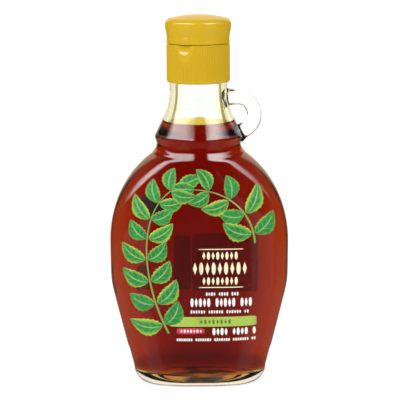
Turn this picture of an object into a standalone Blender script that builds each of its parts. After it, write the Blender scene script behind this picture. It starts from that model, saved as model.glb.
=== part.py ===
"""Syrup bottle: an oval glass flask with a ring handle on its neck and a closed flip-top cap.

World frame: metres, +Z up, origin at the middle of the base. The wide face looks along -Y
and the ring handle is on the +X side.
"""

import math

import bmesh
import bpy

MM = 0.001

# Glass flask, outside
BODY_HALF_WIDTH = 42.6 * MM
BODY_HALF_DEPTH = 22.5 * MM
BODY_PLAN_POWER = 3.0
FOOT_HALF_WIDTH = 30.2 * MM
SIDE_TAPER = 0.25
TAPER_SOFTNESS = 0.45 * MM
HEEL_HEIGHT = 7.0 * MM
HEEL_SIDE_INSET = 5.5 * MM
HEEL_FRONT_INSET = 3.5 * MM
PANEL_STEP = 0.3 * MM
PANEL_STEP_BOTTOM = 15.2 * MM
PANEL_STEP_TOP = 18.0 * MM
SHOULDER_BOTTOM = 68.0 * MM
SHOULDER_RISE = 48.7 * MM
SHOULDER_FRONT_RISE = 58.7 * MM

# Groove under the collar, and the collar's lip
GROOVE_RADIUS = 19.95 * MM
GROOVE_HEIGHT = 114.4 * MM
GROOVE_FILLET = 5.2 * MM
LIP_RADIUS = 20.8 * MM
LIP_HEIGHT = 117.6 * MM

# Neck, and the finish hidden by the cap
NECK_RADIUS = 13.6 * MM
NECK_TOP = 142.9 * MM
NECK_ARC_TOP = 138.5 * MM
NECK_ARC_RADIUS = 25.0 * MM
NECK_CONE_ANGLE = math.radians(26.0)
FINISH_RADIUS = 13.1 * MM
FINISH_TOP = 159.3 * MM

# Inside of the glass
WALL = 3.0 * MM
BORE_WAIST = 17.2 * MM
BORE_WAIST_TOP = 118.4 * MM
MOUTH_BORE = 10.0 * MM
FLOOR_HEIGHT = 5.0 * MM
FLOOR_CORNER = 5.0 * MM
FLOOR_CROWN = 1.4 * MM
SYRUP_LEVEL = 124.3 * MM
GAP = 0.3 * MM

# Ring handle
RING_CENTRE_X = 18.9 * MM
RING_CENTRE_Z = 127.8 * MM
RING_REACH_X = 7.45 * MM
RING_REACH_Z = 8.0 * MM
RING_HALF_WIDTH = 3.5 * MM
RING_HALF_DEPTH = 3.0 * MM
RING_TOP_ROOT_X = 12.3 * MM
RING_LOWER_TURN = math.radians(152.0)
RING_LOWER_RUN = 4.9 * MM

# Cap
CAP_RADIUS = 14.86 * MM
CAP_BORE = 13.45 * MM
SKIRT_BOTTOM = 143.2 * MM
SKIRT_TOP = 161.1 * MM
DECK_THICKNESS = 1.5 * MM
RIB_COUNT = 112
RIB_DEPTH = 0.24 * MM
RIB_BOTTOM = 145.6 * MM
RIB_TOP = 160.7 * MM
THUMB_ANGLE = math.radians(-116.0)
THUMB_PANEL_HALF_ANGLE = math.radians(22.0)
THUMB_HALF_WIDTH = 5.4 * MM
THUMB_HEIGHT = 5.6 * MM
THUMB_DEPTH = 0.8 * MM
LIP_HALF_WIDTH = 4.3 * MM
LIP_TAB_HEIGHT = 4.2 * MM
LIP_TAB_REACH = 0.7 * MM
LID_BOTTOM = SKIRT_TOP + GAP
LID_COVE_RADIUS = 14.72 * MM
LID_RIM_RADIUS = 15.58 * MM
LID_RIM_HEIGHT = 170.1 * MM
LID_TOP = 174.6 * MM
DOME_EDGE_RADIUS = 14.1 * MM
DOME_RISE = 2.3 * MM

# Labels: clear film, drawn thicker than it is
FILM = 0.25 * MM
FRONT_LABEL_BOTTOM = 22.8 * MM
FRONT_LABEL_TOP = 102.0 * MM
FRONT_LABEL_REACH = 0.92
LABEL_COLUMN_TURN = math.radians(70.0)
BACK_LABEL_BOTTOM = 28.0 * MM
BACK_LABEL_TOP = 88.0 * MM
BACK_LABEL_HALF_WIDTH = 25.0 * MM

OUTSIDE_SIDES = 52
INSIDE_SIDES = 44
CAP_SIDES = 48


def clear_scene():
    for item in list(bpy.data.objects):
        bpy.data.objects.remove(item, do_unlink=True)


def principled(name, colour, roughness, transmission=0.0, metallic=0.0):
    material = bpy.data.materials.new(name)
    material.use_nodes = True
    shader = material.node_tree.nodes["Principled BSDF"]
    shader.inputs["Base Color"].default_value = (*colour, 1.0)
    shader.inputs["Roughness"].default_value = roughness
    shader.inputs["Metallic"].default_value = metallic
    shader.inputs["Transmission Weight"].default_value = transmission
    material.diffuse_color = (*colour, 1.0)
    return material


def smooth_step(value, low, high):
    share = min(max((value - low) / (high - low), 0.0), 1.0)
    return share * share * (3.0 - 2.0 * share)


def add_object(name, bm, material=None):
    """Turn a bmesh into a linked object, with its faces pointing out."""
    bmesh.ops.recalc_face_normals(bm, faces=bm.faces)
    mesh = bpy.data.meshes.new(name)
    bm.to_mesh(mesh)
    bm.free()
    obj = bpy.data.objects.new(name, mesh)
    bpy.context.collection.objects.link(obj)
    if material is not None:
        mesh.materials.append(material)
        mesh.shade_smooth()
        mesh.set_sharp_from_angle(angle=math.radians(35.0))
    return obj


def as_cutter(obj):
    obj.hide_render = True
    obj.display_type = "WIRE"
    return obj


def add_boolean(obj, tool, operation):
    modifier = obj.modifiers.new(operation.title() + " " + tool.name, "BOOLEAN")
    modifier.operation = operation
    modifier.solver = "EXACT"
    modifier.object = as_cutter(tool)


def loft(rings):
    """Join equal rings of points, bottom to top, into one closed skin with flat ends."""
    bm = bmesh.new()
    loops = [[bm.verts.new(point) for point in ring] for ring in rings]
    for lower, upper in zip(loops, loops[1:]):
        for i in range(len(lower)):
            j = (i + 1) % len(lower)
            bm.faces.new((lower[i], lower[j], upper[j], upper[i]))
    bm.faces.new(list(reversed(loops[0])))
    bm.faces.new(loops[-1])
    return bm


def oval_reach(angle, half_width, half_depth, power):
    """Distance from the axis to a superellipse, in the direction of angle."""
    across = abs(math.cos(angle)) / half_width
    deep = abs(math.sin(angle)) / half_depth
    return (across ** power + deep ** power) ** (-1.0 / power)


def oval_ring(height, half_width, half_depth, power, sides):
    points = []
    for i in range(sides):
        angle = 2.0 * math.pi * i / sides
        reach = oval_reach(angle, half_width, half_depth, power)
        points.append((reach * math.cos(angle), reach * math.sin(angle), height))
    return points


# Outline of the glass: half-width, half-depth and plan shape at each height

def side_wall(height):
    """Straight tapered side that softens into the full width."""
    taper = FOOT_HALF_WIDTH + SIDE_TAPER * height
    taper += PANEL_STEP * smooth_step(height, PANEL_STEP_BOTTOM, PANEL_STEP_TOP)
    mean = (taper + BODY_HALF_WIDTH) / 2.0
    half_difference = (taper - BODY_HALF_WIDTH) / 2.0
    return mean - math.hypot(half_difference, TAPER_SOFTNESS)


def shoulder_width(height):
    rise = (height - SHOULDER_BOTTOM) / SHOULDER_RISE
    return side_wall(SHOULDER_BOTTOM) * math.sqrt(1.0 - rise * rise)


def shoulder_depth(height):
    rise = (height - SHOULDER_BOTTOM) / SHOULDER_FRONT_RISE
    return BODY_HALF_DEPTH * (1.0 - rise ** 4) ** 0.25


def groove_fillet(height):
    drop = GROOVE_HEIGHT - height
    return GROOVE_RADIUS + GROOVE_FILLET - math.sqrt(GROOVE_FILLET ** 2 - drop ** 2)


def neck_outline(height):
    """Round neck: a cone that an arc turns into the upright tube under the cap."""
    arc_drop = NECK_ARC_RADIUS * math.sin(NECK_CONE_ANGLE)
    arc_bottom = NECK_ARC_TOP - arc_drop
    if height >= NECK_ARC_TOP:
        return NECK_RADIUS
    if height >= arc_bottom:
        drop = NECK_ARC_TOP - height
        return NECK_RADIUS + NECK_ARC_RADIUS - math.sqrt(NECK_ARC_RADIUS ** 2 - drop ** 2)
    arc_gain = NECK_ARC_RADIUS * (1.0 - math.cos(NECK_CONE_ANGLE))
    return NECK_RADIUS + arc_gain + (arc_bottom - height) * math.tan(NECK_CONE_ANGLE)


# Height at which the shoulder's slope meets the fillet of the groove
FILLET_BOTTOM = GROOVE_HEIGHT - GROOVE_FILLET * math.sin(math.radians(55.4))


def outer_width(height):
    if height <= SHOULDER_BOTTOM:
        return side_wall(height)
    if height <= FILLET_BOTTOM:
        return shoulder_width(height)
    if height <= GROOVE_HEIGHT:
        return groove_fillet(height)
    if height <= LIP_HEIGHT:
        rise = smooth_step(height, GROOVE_HEIGHT, LIP_HEIGHT)
        return GROOVE_RADIUS + (LIP_RADIUS - GROOVE_RADIUS) * rise
    return min(neck_outline(height), LIP_RADIUS)


def outer_depth(height):
    if height <= SHOULDER_BOTTOM:
        return BODY_HALF_DEPTH
    if height >= GROOVE_HEIGHT:
        return outer_width(height)
    turn = smooth_step(height, FILLET_BOTTOM - GROOVE_FILLET, GROOVE_HEIGHT)
    return shoulder_depth(height) * (1.0 - turn) + GROOVE_RADIUS * turn


def plan_power(height):
    """The body is a squarish oval, and the neck is round."""
    roundness = smooth_step(height, SHOULDER_BOTTOM, FILLET_BOTTOM)
    return BODY_PLAN_POWER + (2.0 - BODY_PLAN_POWER) * roundness


def slope(outline, height):
    step = 0.05 * MM
    return (outline(height + step) - outline(height - step)) / (2.0 * step)


def bore_radius(height):
    """Round inside of the neck, from the waist up to the mouth."""
    if height <= BORE_WAIST_TOP:
        return BORE_WAIST
    narrowing = smooth_step(height, NECK_ARC_TOP, NECK_TOP)
    wall = WALL + (NECK_RADIUS - MOUTH_BORE - WALL) * narrowing
    return max(neck_outline(height) - wall, MOUTH_BORE)


def inner_width(height):
    if height >= FILLET_BOTTOM:
        return bore_radius(height)
    wall = WALL * math.hypot(1.0, slope(outer_width, height))
    return max(outer_width(height) - wall, BORE_WAIST)


def inner_depth(height):
    if height >= FILLET_BOTTOM:
        return bore_radius(height)
    return max(outer_depth(height) - WALL, BORE_WAIST)


def stations(*groups):
    """Heights in millimetres from several groups, in metres and in order."""
    return [height * MM for group in groups for height in group]


def outside_rings():
    rings = []
    heel_steps = 4
    for i in range(heel_steps):
        turn = math.radians(90.0) * i / heel_steps
        height = HEEL_HEIGHT * (1.0 - math.cos(turn))
        side = outer_width(HEEL_HEIGHT) - HEEL_SIDE_INSET * (1.0 - math.sin(turn))
        front = BODY_HALF_DEPTH - HEEL_FRONT_INSET * (1.0 - math.sin(turn))
        rings.append(oval_ring(height, side, front, BODY_PLAN_POWER, OUTSIDE_SIDES))
    body = (7.0, 15.2, 18.0, 30.0, 41.0, 47.0, 53.0, 60.0, 68.0)
    shoulder = (76.0, 83.0, 89.5, 95.0, 99.5, 103.5, 106.5, 108.5, 110.1)
    collar = (111.4, 112.8, 114.4, 115.6, 116.6, 117.4, 118.1)
    neck = (121.0, 124.3, 127.5, 130.0, 132.5, 135.0, 138.5, 142.9)
    for height in stations(body, shoulder, collar, neck):
        half_width = outer_width(height)
        half_depth = outer_depth(height)
        rings.append(oval_ring(height, half_width, half_depth, plan_power(height), OUTSIDE_SIDES))
    finish_bottom = NECK_TOP + GAP
    mouth_round = 0.6 * MM
    for height, radius in ((finish_bottom, FINISH_RADIUS),
                           (FINISH_TOP - mouth_round, FINISH_RADIUS),
                           (FINISH_TOP, FINISH_RADIUS - mouth_round)):
        rings.append(oval_ring(height, radius, radius, 2.0, OUTSIDE_SIDES))
    return rings


def inside_rings(clearance, top_heights):
    """Rings of the cavity, or of its contents where clearance is above zero."""
    rings = []
    corner_steps = 4
    corner_top = FLOOR_HEIGHT + FLOOR_CORNER
    crown_reach = 0.5
    floor_width = inner_width(corner_top) - FLOOR_CORNER - clearance
    floor_depth = inner_depth(corner_top) - FLOOR_CORNER - clearance
    crown = FLOOR_HEIGHT + FLOOR_CROWN + clearance
    rings.append(oval_ring(crown, floor_width * crown_reach, floor_depth * crown_reach,
                           BODY_PLAN_POWER, INSIDE_SIDES))
    for i in range(corner_steps):
        turn = math.radians(90.0) * i / corner_steps
        height = FLOOR_HEIGHT + clearance + (FLOOR_CORNER - clearance) * (1.0 - math.cos(turn))
        side = floor_width + FLOOR_CORNER * math.sin(turn)
        front = floor_depth + FLOOR_CORNER * math.sin(turn)
        rings.append(oval_ring(height, side, front, BODY_PLAN_POWER, INSIDE_SIDES))
    body = (10.0, 18.0, 41.0, 48.0, 56.0, 68.0)
    shoulder = (78.0, 86.0, 93.0, 98.5, 103.0, 106.5, 109.5, 112.0, 118.0)
    for height in stations(body, shoulder, top_heights):
        half_width = inner_width(height) - clearance
        half_depth = inner_depth(height) - clearance
        rings.append(oval_ring(height, half_width, half_depth, plan_power(height), INSIDE_SIDES))
    return rings


def handle_path():
    """Places (x, z) and directions along the handle, from its top root to its lower root."""
    path = [(RING_TOP_ROOT_X, RING_CENTRE_Z + RING_REACH_Z, 1.0, 0.0)]
    arc_steps = 13
    for i in range(arc_steps + 1):
        turn = RING_LOWER_TURN * i / arc_steps
        along_x = RING_REACH_X * math.cos(turn)
        along_z = -RING_REACH_Z * math.sin(turn)
        length = math.hypot(along_x, along_z)
        path.append((RING_CENTRE_X + RING_REACH_X * math.sin(turn),
                     RING_CENTRE_Z + RING_REACH_Z * math.cos(turn),
                     along_x / length, along_z / length))
    x, z, along_x, along_z = path[-1]
    path.append((x + RING_LOWER_RUN * along_x, z + RING_LOWER_RUN * along_z, along_x, along_z))
    return path


def handle_sections():
    """Oval sections square to the path, whose roots end inside the neck's wall."""
    sides = 12
    sections = []
    for x, z, along_x, along_z in handle_path():
        section = []
        for i in range(sides):
            angle = 2.0 * math.pi * i / sides
            out = RING_HALF_WIDTH * math.cos(angle)
            deep = RING_HALF_DEPTH * math.sin(angle)
            section.append((x - out * along_z, deep, z + out * along_x))
        sections.append(section)
    return sections


def make_bottle(material):
    bottle = add_object("glass_bottle", loft(outside_rings()), material)
    add_boolean(bottle, add_object("ring_handle_shape", loft(handle_sections())), "UNION")
    above_mouth = FINISH_TOP / MM + 3.0
    neck = (SYRUP_LEVEL / MM, 127.5, 131.0, 135.0, 138.5, 143.0, above_mouth)
    cavity = add_object("cavity_shape", loft(inside_rings(0.0, neck)))
    add_boolean(bottle, cavity, "DIFFERENCE")
    return bottle


def make_syrup(material):
    """Syrup fills the cavity up to its level, with a small gap to the glass."""
    return add_object("syrup", loft(inside_rings(GAP, (SYRUP_LEVEL / MM,))), material)


def angle_from_thumb(angle):
    return abs(math.remainder(angle - THUMB_ANGLE, 2.0 * math.pi))


def skirt_ring(height, radius, ribbed):
    """A round ring with a crest and a valley for each rib, plain at the thumb panel."""
    points = []
    for i in range(2 * RIB_COUNT):
        angle = math.pi * i / RIB_COUNT
        reach = radius
        if ribbed and i % 2 and angle_from_thumb(angle) > THUMB_PANEL_HALF_ANGLE:
            reach = radius - RIB_DEPTH
        points.append((reach * math.cos(angle), reach * math.sin(angle), height))
    return points


def thumb_ellipsoid(name, radius, height, half_width, half_depth, half_height):
    """A flattened ball on the cap's side, where the thumb opens the lid."""
    bm = bmesh.new()
    bmesh.ops.create_uvsphere(bm, u_segments=20, v_segments=12, radius=1.0)
    for vertex in bm.verts:
        out = radius + vertex.co.x * half_depth
        along = vertex.co.y * half_width
        vertex.co = (out * math.cos(THUMB_ANGLE) - along * math.sin(THUMB_ANGLE),
                     out * math.sin(THUMB_ANGLE) + along * math.cos(THUMB_ANGLE),
                     height + vertex.co.z * half_height)
    return add_object(name, bm)


def make_skirt(material):
    edge_round = 0.9 * MM
    rings = [
        skirt_ring(SKIRT_BOTTOM, CAP_RADIUS - edge_round, False),
        skirt_ring(SKIRT_BOTTOM + 0.4 * edge_round, CAP_RADIUS - 0.3 * edge_round, False),
        skirt_ring(SKIRT_BOTTOM + 1.4 * edge_round, CAP_RADIUS, False),
        skirt_ring(RIB_BOTTOM, CAP_RADIUS, True),
        skirt_ring(RIB_TOP, CAP_RADIUS, True),
        skirt_ring(SKIRT_TOP, CAP_RADIUS - RIB_DEPTH, False),
    ]
    skirt = add_object("cap_skirt", loft(rings), material)
    deck_bottom = SKIRT_TOP - DECK_THICKNESS
    below = SKIRT_BOTTOM - 3.0 * MM
    bore = [oval_ring(height, CAP_BORE, CAP_BORE, 2.0, CAP_SIDES)
            for height in (below, deck_bottom)]
    add_boolean(skirt, add_object("skirt_bore_shape", loft(bore)), "DIFFERENCE")
    scoop_thickness = 2.0 * MM
    scoop = thumb_ellipsoid("thumb_scoop_shape", CAP_RADIUS + scoop_thickness - THUMB_DEPTH,
                            SKIRT_TOP, THUMB_HALF_WIDTH, scoop_thickness, THUMB_HEIGHT)
    add_boolean(skirt, scoop, "DIFFERENCE")
    return skirt


def lid_outline():
    """Radius and height of the lid's section, from the crown down to the seam."""
    points = []
    dome_radius = (DOME_EDGE_RADIUS ** 2 + DOME_RISE ** 2) / (2.0 * DOME_RISE)
    dome_angle = math.asin(DOME_EDGE_RADIUS / dome_radius)
    dome_steps = 4
    for i in range(dome_steps + 1):
        turn = dome_angle * i / dome_steps
        points.append((dome_radius * math.sin(turn),
                       LID_TOP - dome_radius * (1.0 - math.cos(turn))))
    rim_bottom = LID_RIM_HEIGHT
    rim_rise = points[-1][1] - rim_bottom
    rim_reach = LID_RIM_RADIUS - DOME_EDGE_RADIUS
    for degrees in (35.0, 65.0, 90.0):
        turn = math.radians(degrees)
        points.append((DOME_EDGE_RADIUS + rim_reach * math.sin(turn),
                       rim_bottom + rim_rise * math.cos(turn)))
    cove_height = 164.5 * MM
    for share in (0.35, 0.7, 1.0):
        height = rim_bottom + (cove_height - rim_bottom) * share
        fall = smooth_step(share, 0.0, 1.0)
        points.append((LID_RIM_RADIUS + (LID_COVE_RADIUS - LID_RIM_RADIUS) * fall, height))
    edge_round = 0.2 * MM
    points.append((CAP_RADIUS, LID_BOTTOM + edge_round))
    points.append((CAP_RADIUS - edge_round, LID_BOTTOM))
    points.append((0.0, LID_BOTTOM))
    return points


def make_lid(material):
    bm = bmesh.new()
    verts = [bm.verts.new((radius, 0.0, height)) for radius, height in lid_outline()]
    edges = [bm.edges.new(pair) for pair in zip(verts, verts[1:])]
    bmesh.ops.spin(bm, geom=verts + edges, cent=(0.0, 0.0, 0.0), axis=(0.0, 0.0, 1.0),
                   angle=2.0 * math.pi, steps=CAP_SIDES, use_merge=True)
    bmesh.ops.remove_doubles(bm, verts=bm.verts, dist=0.01 * MM)
    lid = add_object("cap_lid", bm, material)
    tab_thickness = 1.6 * MM
    tab = thumb_ellipsoid("thumb_tab_shape", CAP_RADIUS + LIP_TAB_REACH - tab_thickness,
                          LID_BOTTOM, LIP_HALF_WIDTH, tab_thickness, LIP_TAB_HEIGHT)
    half_ball = add_object("tab_floor_shape", loft([
        oval_ring(LID_BOTTOM - 2.0 * LIP_TAB_HEIGHT, 30.0 * MM, 30.0 * MM, 2.0, 8),
        oval_ring(LID_BOTTOM, 30.0 * MM, 30.0 * MM, 2.0, 8)]))
    add_boolean(tab, half_ball, "DIFFERENCE")
    add_boolean(lid, tab, "UNION")
    return lid


def make_film(name, material, bottom, top, reach_at, facing, rows, columns):
    """A thin skin on the flask's face; reach_at gives its half-width at a height.

    Its columns stand closer together towards the sides, where the face turns away.
    """
    bm = bmesh.new()
    bmesh.ops.create_grid(bm, x_segments=columns, y_segments=rows, size=1.0)
    for vertex in bm.verts:
        height = bottom + (top - bottom) * (vertex.co.y + 1.0) / 2.0
        column = math.sin(vertex.co.x * LABEL_COLUMN_TURN) / math.sin(LABEL_COLUMN_TURN)
        across = reach_at(height) * column
        half_width = outer_width(height) + GAP
        half_depth = outer_depth(height) + GAP
        power = plan_power(height)
        share = 1.0 - (abs(across) / half_width) ** power
        vertex.co = (across * -facing, facing * half_depth * share ** (1.0 / power), height)
    film = add_object(name, bm, material)
    outwards = film.data.polygons[0].normal.y * facing > 0.0
    if not outwards:
        film.data.flip_normals()
    skin = film.modifiers.new("Film thickness", "SOLIDIFY")
    skin.thickness = FILM
    skin.offset = 1.0
    return film


def front_label_reach(height):
    """The front label follows the flask's outline and rounds off below the neck."""
    middle = (FRONT_LABEL_BOTTOM + FRONT_LABEL_TOP) / 2.0
    half = (FRONT_LABEL_TOP - FRONT_LABEL_BOTTOM) / 2.0
    rounding = 1.0 - 0.35 * max((height - middle) / half, 0.0) ** 4
    return FRONT_LABEL_REACH * outer_width(height) * rounding


def back_label_reach(height):
    return BACK_LABEL_HALF_WIDTH


def build():
    clear_scene()
    glass = principled("Clear glass", (0.95, 0.97, 0.93), 0.03, transmission=1.0)
    syrup = principled("Amber syrup", (0.30, 0.02, 0.01), 0.05, transmission=0.6)
    plastic = principled("Gold plastic", (0.72, 0.45, 0.03), 0.38)
    film = principled("Clear film", (0.80, 0.85, 0.70), 0.25, transmission=0.8)
    make_bottle(glass)
    make_syrup(syrup)
    make_skirt(plastic)
    make_lid(plastic)
    make_film("front_label", film, FRONT_LABEL_BOTTOM, FRONT_LABEL_TOP,
              front_label_reach, -1.0, 10, 16)
    make_film("back_label", film, BACK_LABEL_BOTTOM, BACK_LABEL_TOP,
              back_label_reach, 1.0, 5, 10)


build()
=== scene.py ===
# Looks of the syrup bottle: clear flask with a ring handle, dark amber syrup, gold flip-top cap
# and two clear labels with printed leaves. Shapes are worked out in millimetres, and the mesh
# helpers turn them into metres.

import math

import bmesh
import bpy
import numpy as np
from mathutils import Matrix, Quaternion, Vector


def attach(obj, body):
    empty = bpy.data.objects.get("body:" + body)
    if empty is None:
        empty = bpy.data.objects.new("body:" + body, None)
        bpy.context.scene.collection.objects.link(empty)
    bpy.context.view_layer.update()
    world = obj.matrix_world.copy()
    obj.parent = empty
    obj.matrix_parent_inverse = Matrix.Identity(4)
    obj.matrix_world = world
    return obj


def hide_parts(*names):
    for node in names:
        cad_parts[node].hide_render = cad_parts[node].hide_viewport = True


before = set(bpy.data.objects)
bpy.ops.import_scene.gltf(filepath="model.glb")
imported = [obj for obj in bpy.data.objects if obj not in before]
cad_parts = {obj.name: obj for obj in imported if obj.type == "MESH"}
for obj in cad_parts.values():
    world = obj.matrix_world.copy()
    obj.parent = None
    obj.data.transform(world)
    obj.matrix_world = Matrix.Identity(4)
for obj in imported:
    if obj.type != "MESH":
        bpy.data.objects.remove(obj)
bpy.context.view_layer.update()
print("frame loaded")

mm = 0.001
fullTurn = 2.0 * math.pi
joined = np.concatenate


# Small curves that the shapes share

def smoothStep(value, low, high):
    # share s runs 0 to 1 from low to high, and the result is s*s*(3 - 2s)
    share = np.clip((np.asarray(value, float) - low) / (high - low), 0.0, 1.0)
    return share * share * (3.0 - 2.0 * share)


def softened(values, step, width):
    # each value becomes the mean of its neighbours, weighted by exp(-d*d / (2*width*width))
    reach = int(round(4.0 * width / step))
    weights = np.exp(-0.5 * (np.arange(-reach, reach + 1) * step / width) ** 2)
    padded = np.pad(values, reach, mode="edge")
    return np.convolve(padded, weights / weights.sum(), mode="valid")


def softMin(a, b, softness):
    # mean of a and b less the length of (half their difference, softness)
    return 0.5 * (a + b) - np.hypot(0.5 * (a - b), softness) + softness


def softMax(a, b, softness):
    return -softMin(-a, -b, softness)


# Mesh helpers

def newObject(name, data):
    obj = bpy.data.objects.new(name, data)
    bpy.context.scene.collection.objects.link(obj)
    return obj


def meshFrom(name, points, faces, slots=None):
    # A smooth-shaded object from points in millimetres.
    mesh = bpy.data.meshes.new(name)
    mesh.from_pydata((points * mm).tolist(), [], faces)
    if slots is not None:
        mesh.polygons.foreach_set("material_index", slots.astype(np.int32))
    mesh.shade_smooth()
    mesh.update()
    return newObject(name, mesh)


def closedGrid(name, grid, slotOfRow=None):
    # Closed skin of rings of points with a fan at each end. The first and the last row are poles,
    # one place repeated, and the faces look outwards where a ring turns from x to y as z grows.
    rows, columns = grid.shape[:2]
    rings = grid[1:-1].reshape(-1, 3)
    points = joined([rings, grid[0, :1], grid[-1, :1]])
    index = np.arange((rows - 2) * columns).reshape(rows - 2, columns)
    lower, upper = index[:-1], index[1:]
    quads = np.stack([lower, np.roll(lower, -1, 1), np.roll(upper, -1, 1), upper], -1)
    first, last = len(rings), len(rings) + 1
    bottom = np.stack([np.full(columns, first), np.roll(index[0], -1), index[0]], -1)
    top = np.stack([index[-1], np.roll(index[-1], -1), np.full(columns, last)], -1)
    slots = None
    if slotOfRow is not None:
        slots = np.repeat([*slotOfRow[1:-2], slotOfRow[0], slotOfRow[-1]], columns)
    faces = quads.reshape(-1, 4).tolist() + bottom.tolist() + top.tolist()
    return meshFrom(name, points, faces, slots)


def patchQuads(count, rows, columns):
    # Corner numbers of the quads of count equal open grids, one after another.
    index = np.arange(count * rows * columns).reshape(count, rows, columns)
    corners = [index[:, :-1, :-1], index[:, :-1, 1:], index[:, 1:, 1:], index[:, 1:, :-1]]
    return np.stack(corners, -1).reshape(-1, 4)


def openPatches(name, points, quads, thickness, leafPlace=None):
    # Thin printed or film pieces: a sheet of patches with a Solidify thickness behind it.
    obj = meshFrom(name, points.reshape(-1, 3), quads.tolist())
    if leafPlace is not None:
        field = obj.data.attributes.new("leafPlace", "FLOAT_VECTOR", "POINT")
        field.data.foreach_set("vector", leafPlace.astype(np.float32).ravel())
    skin = obj.modifiers.new("Film thickness", "SOLIDIFY")
    skin.thickness = thickness * mm
    skin.offset = -1.0
    return obj


# Material helpers; new nodes go into the tree that newMaterial or makeWorld has opened last

opened = dict(tree=None)


def newMaterial(name):
    material = bpy.data.materials.new(name)
    material.use_nodes = True
    opened["tree"] = material.node_tree
    return material, material.node_tree.nodes["Principled BSDF"]


def clearMaterial(name, indexOfRefraction, mirrors):
    # Clear through and through; one that doesn't mirror bends the light all the same.
    material, shader = newMaterial(name)
    feed(shader, {"Base Color": (1.0, 1.0, 1.0), "Roughness": 0.0, "IOR": indexOfRefraction,
                  "Transmission Weight": 1.0, "Specular Tint": (float(mirrors),) * 3})
    return material, shader


def feed(node, inputs):
    # Each input gets a value or another node's output; a colour is given by its three parts.
    for key, value in inputs.items():
        socket = node.inputs[key]
        if isinstance(value, bpy.types.NodeSocket):
            opened["tree"].links.new(value, socket)
        else:
            socket.default_value = (*value, 1.0) if socket.type == "RGBA" else value


def addNode(kind, inputs=None, **settings):
    node = opened["tree"].nodes.new("ShaderNode" + kind)
    for key, value in settings.items():
        setattr(node, key, value)
    feed(node, inputs or {})
    return node


def toOutput(ends):
    feed(opened["tree"].nodes["Material Output"], ends)


# Each of these gives the output of a node; its inputs are numbers or other nodes' outputs

def mathOf(operation, first, second=0.0, third=0.0):
    inputs = {0: first, 1: second, 2: third}
    return addNode("Math", inputs, operation=operation).outputs[0]


def times(result, *factors):
    for factor in factors:
        result = mathOf("MULTIPLY", result, factor)
    return result


def lengthOf(vector):
    return addNode("VectorMath", {0: vector}, operation="LENGTH").outputs["Value"]


def rampOf(value, low, high, first=0.0, last=1.0, kind="SMOOTHSTEP"):
    inputs = {0: value, 1: low, 2: high, 3: first, 4: last}
    return addNode("MapRange", inputs, interpolation_type=kind).outputs[0]


def softEdge(value, middle, half, first=0.0, last=1.0):
    # first up to middle - half, last from middle + half
    return rampOf(value, middle - half, middle + half, first, last)


def mixColour(factor, first, second):
    # the Mix node has a set of sockets for each kind of data: 6, 7 and 2 are the colours
    inputs = {0: factor, 6: first, 7: second}
    return addNode("Mix", inputs, data_type="RGBA").outputs[2]


def mixShader(factor, first, second):
    inputs = {0: factor, 1: first.outputs[0], 2: second.outputs[0]}
    return addNode("MixShader", inputs).outputs[0]


def placeOf():
    # Object coordinates, whole and as x, y and z.
    where = addNode("TexCoord").outputs["Object"]
    return where, addNode("SeparateXYZ", {0: where}).outputs


def noiseOf(scale, detail=2.0, stretch=(1.0, 1.0, 1.0)):
    # Noise on Object coordinates; scale is in bumps for each metre.
    where = addNode("TexCoord").outputs["Object"]
    placed = addNode("Mapping", {"Vector": where, "Scale": stretch}).outputs[0]
    inputs = {"Vector": placed, "Scale": scale, "Detail": detail}
    return addNode("TexNoise", inputs).outputs["Fac"]


def unevenOf(scale, middle, swing):
    # middle plus or minus half of swing, by noise
    return mathOf("MULTIPLY_ADD", noiseOf(scale), swing, middle - 0.5 * swing)


def addBump(shader, height, strength, distance):
    inputs = {"Height": height, "Strength": strength, "Distance": distance}
    feed(shader, {"Normal": addNode("Bump", inputs).outputs[0]})


# The flask's outline, as the CAD solid has it: half-width, half-depth and plan at each height

outline = dict(
    halfWidth=42.6, halfDepth=22.5, planPower=3.0, footHalfWidth=30.2, sideTaper=0.25,
    taperSoftness=0.45, panelStep=0.3, panelStepBottom=15.2, panelStepTop=18.0,
    shoulderBottom=68.0, shoulderRise=48.7, shoulderFrontRise=68.0,
    frontTurnBottom=107.8, frontTurnTop=113.8,
    grooveRadius=19.95, grooveHeight=114.4, grooveFillet=5.2, filletTurn=55.4,
    lipRadius=20.8, lipHeight=117.6,
    neckRadius=13.6, neckTop=142.9, neckArcTop=138.5, neckArcRadius=25.0, neckConeAngle=26.0,
    wall=3.0, boreWaist=17.2, boreWaistTop=118.4, mouthBore=10.0,
    softness=0.35, innerSoftness=0.9, tableStep=0.05, tableTop=165.0,
)


def sideWall(z):
    # straight side, foot + taper*z, blended into the full width by a hyperbola
    o = outline
    taper = o["footHalfWidth"] + o["sideTaper"] * z
    taper = taper + o["panelStep"] * smoothStep(z, o["panelStepBottom"], o["panelStepTop"])
    half = 0.5 * (taper - o["halfWidth"])
    return 0.5 * (taper + o["halfWidth"]) - np.hypot(half, o["taperSoftness"])


def neckOutline(z):
    # a cone of the given angle, an arc of the given radius, then an upright tube
    o = outline
    angle = math.radians(o["neckConeAngle"])
    arcBottom = o["neckArcTop"] - o["neckArcRadius"] * math.sin(angle)
    drop = np.clip(o["neckArcTop"] - z, 0.0, o["neckArcTop"] - arcBottom)
    arc = o["neckRadius"] + o["neckArcRadius"] - np.sqrt(o["neckArcRadius"] ** 2 - drop ** 2)
    return arc + np.maximum(arcBottom - z, 0.0) * math.tan(angle)


def filletBottom():
    o = outline
    return o["grooveHeight"] - o["grooveFillet"] * math.sin(math.radians(o["filletTurn"]))


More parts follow.
